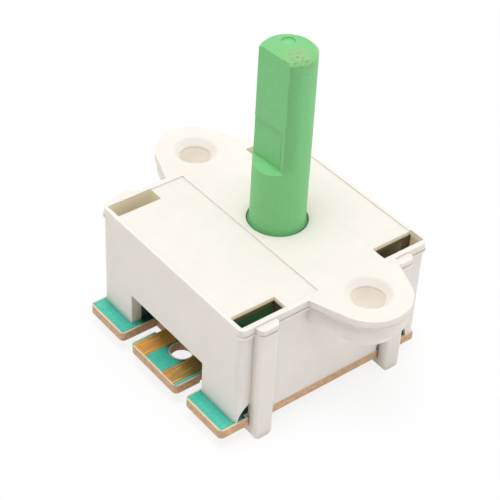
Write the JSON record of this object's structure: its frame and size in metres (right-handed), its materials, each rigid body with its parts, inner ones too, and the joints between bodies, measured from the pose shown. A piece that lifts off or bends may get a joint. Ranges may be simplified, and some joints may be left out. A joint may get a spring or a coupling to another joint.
{
  "type": "rotary selector switch",
  "caption": "Rotary selector switch for an oven: white housing with screw ears, green D-shaft spindle with indexed rotor, and a printed board with an edge connector.",
  "frame": {"origin": "on the spindle's axis in the plane of the housing's mounting face", "axes": "+Z along the spindle away from the housing, +X from one screw ear to the other, -Y towards the edge connector"},
  "size_m": [0.0366, 0.0253, 0.0345],
  "materials": {
    "white_plastic": "satin moulded",
    "cream_plastic": "satin moulded",
    "green_plastic": "satin moulded",
    "grey_plastic": "smooth",
    "spring_bronze": "rolled",
    "spring_steel": "drawn",
    "laminate": "sawn edge",
    "solder_mask": "lacquer",
    "copper": "streaked",
    "solder": "bright",
    "chip": "glazed"
  },
  "bodies": {
    "stator": {"housing": "white_plastic", "detent_block": "cream_plastic", "board": "laminate", "solder_mask": "solder_mask", "common_track": "copper", "contact_tracks": "copper", "solder_joints": "solder", "chip_resistor_01": "chip", "chip_resistor_02": "chip", "chip_resistor_03": "chip", "chip_resistor_04": "chip", "chip_resistor_05": "chip", "chip_resistor_06": "chip", "chip_resistor_07": "chip", "chip_resistor_08": "chip", "chip_resistor_09": "chip", "chip_resistor_10": "chip", "chip_resistor_11": "chip", "spring_left": "spring_steel", "spring_right": "spring_steel"},
    "rotor": {"spindle": "green_plastic", "wiper": "spring_bronze"},
    "plunger_left": {"plunger_left": "grey_plastic"},
    "plunger_right": {"plunger_right": "grey_plastic"}
  },
  "joints": [
    {"name": "spindle_turn", "type": "hinge", "parent": "stator", "child": "rotor", "pos_m": [0, 0, 0], "axis": [0, 0, 1], "continuous": true},
    {"name": "plunger_left_slide", "type": "slide", "parent": "stator", "child": "plunger_left", "axis": [0.5, 0.866, 0], "range_m": [-0.00065, 0], "stiffness_N_per_m": 400, "springref_m": 0.003, "deforming": ["spring_left"]},
    {"name": "plunger_right_slide", "type": "slide", "parent": "stator", "child": "plunger_right", "axis": [0, 1, 0], "range_m": [-0.00065, 0], "stiffness_N_per_m": 400, "springref_m": 0.003, "deforming": ["spring_right"]}
  ]
}
